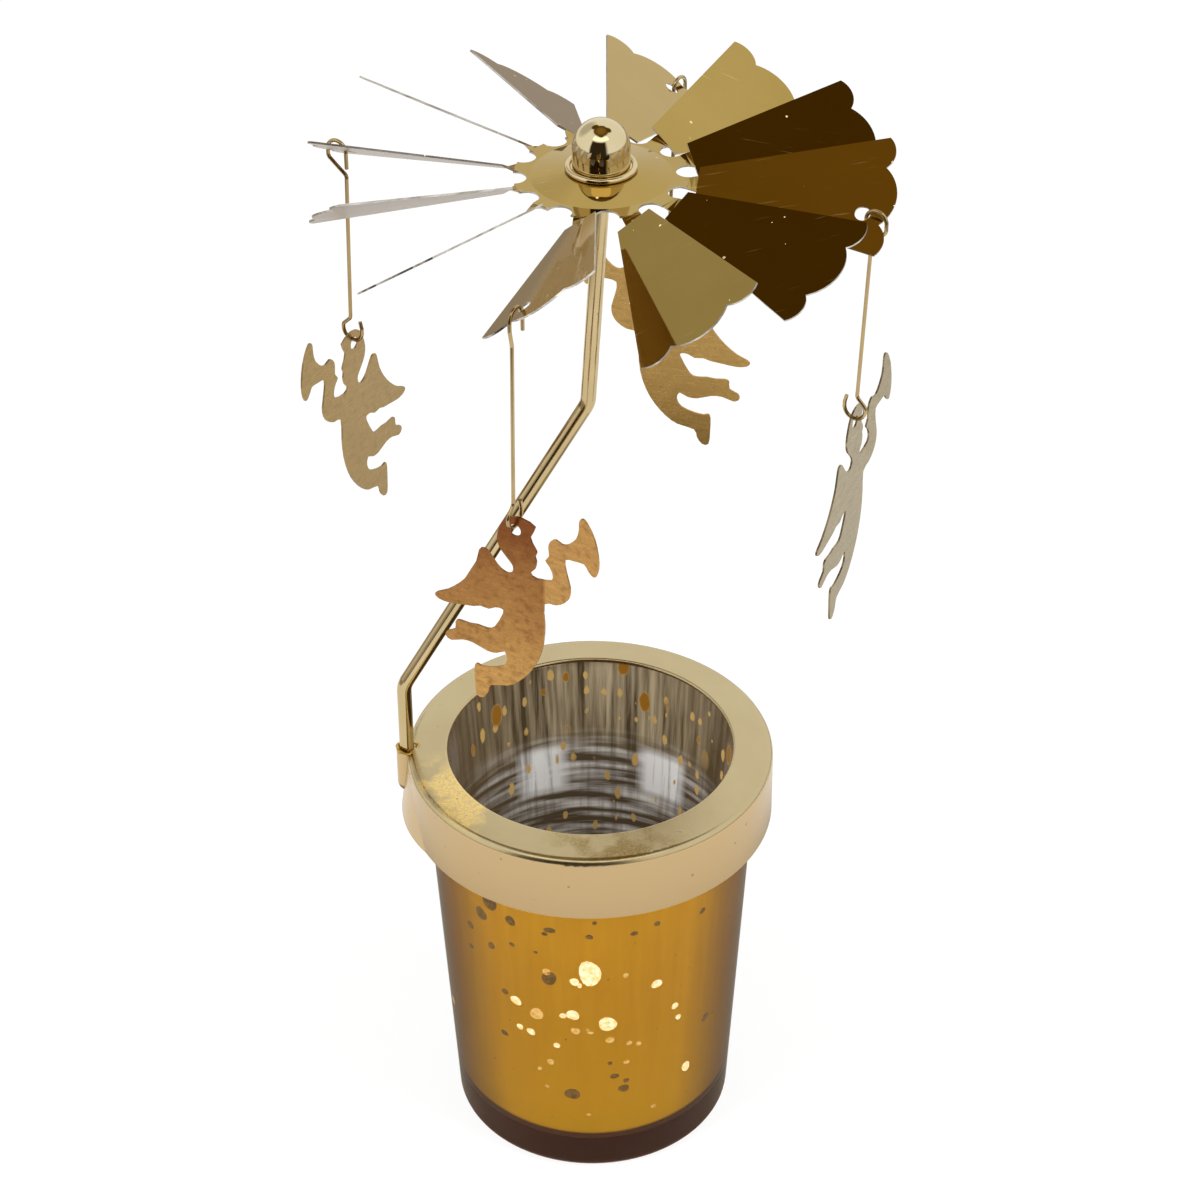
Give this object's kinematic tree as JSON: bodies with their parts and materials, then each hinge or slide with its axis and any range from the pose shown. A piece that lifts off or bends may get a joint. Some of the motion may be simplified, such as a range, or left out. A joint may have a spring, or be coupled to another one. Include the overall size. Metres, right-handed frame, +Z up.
{
  "type": "angel chime carousel",
  "caption": "Candle carousel: glass cup, metal ring cap, bent rod and a bladed wheel that spins on the rod's point with angel figures hanging on wire hooks.",
  "frame": {"origin": "centre of the glass cup's bottom face, which rests on the table", "axes": "+Z up along the cup's axis, +X to the right and -Y towards the viewer in the picture; the rod stands in the ring cap on the -X side"},
  "size_m": [0.0902, 0.0917, 0.1875],
  "materials": {
    "amber_glass": "amber-gold glass, silvered inside with gold specks",
    "satin_gold": "satin pale gold plating",
    "rod_gold": "polished pale gold plating",
    "mirror_gold": "mirror-polished gold sheet with fine scratches",
    "dome_gold": "mirror-polished pale gold",
    "wire_gold": "drawn pale gold wire",
    "angel_brass": "finely brushed gold sheet",
    "angel_copper": "finely brushed gold sheet with a coppery cast"
  },
  "bodies": {
    "cup": {"glass_cup": "amber_glass"},
    "stand": {"ring_cap": "satin_gold", "socket_strap": "satin_gold", "support_rod": "rod_gold"},
    "wheel": {"rotor_plate": "mirror_gold", "dome_cap": "dome_gold", "hub_eyelet": "dome_gold"},
    "hook_a": {"hook_right": "wire_gold"},
    "hook_b": {"hook_back": "wire_gold"},
    "hook_c": {"hook_left": "wire_gold"},
    "hook_d": {"hook_front": "wire_gold"},
    "angel_a": {"angel_right": "angel_brass"},
    "angel_b": {"angel_back": "angel_brass"},
    "angel_c": {"angel_left": "angel_brass"},
    "angel_d": {"angel_front": "angel_copper"}
  },
  "joints": [
    {"name": "ring_lift", "type": "slide", "parent": "cup", "child": "stand", "axis": [0, 0, 1], "range_m": [0, 0.03]},
    {"name": "wheel_spin", "type": "hinge", "parent": "stand", "child": "wheel", "pos_m": [0.00235, 0, 0.186], "axis": [0, 0, 1], "continuous": true},
    {"name": "hook_right_swing", "type": "hinge", "parent": "wheel", "child": "hook_a", "pos_m": [0.04083, -0.01131, 0.17727], "axis": [-0.5414, -0.8407, 0], "range_deg": [-12, 30]},
    {"name": "hook_back_swing", "type": "hinge", "parent": "wheel", "child": "hook_b", "pos_m": [0.01421, 0.03787, 0.1735], "axis": [0.8248, -0.5654, 0], "range_deg": [-12, 30]},
    {"name": "hook_left_swing", "type": "hinge", "parent": "wheel", "child": "hook_c", "pos_m": [-0.03612, 0.01129, 0.17701], "axis": [0.5404, 0.8414, 0], "range_deg": [-12, 30]},
    {"name": "hook_front_swing", "type": "hinge", "parent": "wheel", "child": "hook_d", "pos_m": [-0.00908, -0.03847, 0.17788], "axis": [-0.8509, 0.5254, 0], "range_deg": [-12, 27]},
    {"name": "angel_right_swing", "type": "hinge", "parent": "hook_a", "child": "angel_a", "pos_m": [0.03999, -0.01076, 0.14287], "axis": [0.8407, -0.5414, 0], "range_deg": [-30, 30]},
    {"name": "angel_back_swing", "type": "hinge", "parent": "hook_b", "child": "angel_b", "pos_m": [0.01308, 0.03622, 0.1417], "axis": [0.5654, 0.8248, 0], "range_deg": [-30, 30]},
    {"name": "angel_left_swing", "type": "hinge", "parent": "hook_c", "child": "angel_c", "pos_m": [-0.03612, 0.01129, 0.14421], "axis": [-0.8414, 0.5404, 0], "range_deg": [-30, 30]},
    {"name": "angel_front_swing", "type": "hinge", "parent": "hook_d", "child": "angel_d", "pos_m": [-0.01044, -0.04068, 0.14408], "axis": [-0.5254, -0.8509, 0], "range_deg": [-30, 30]}
  ]
}
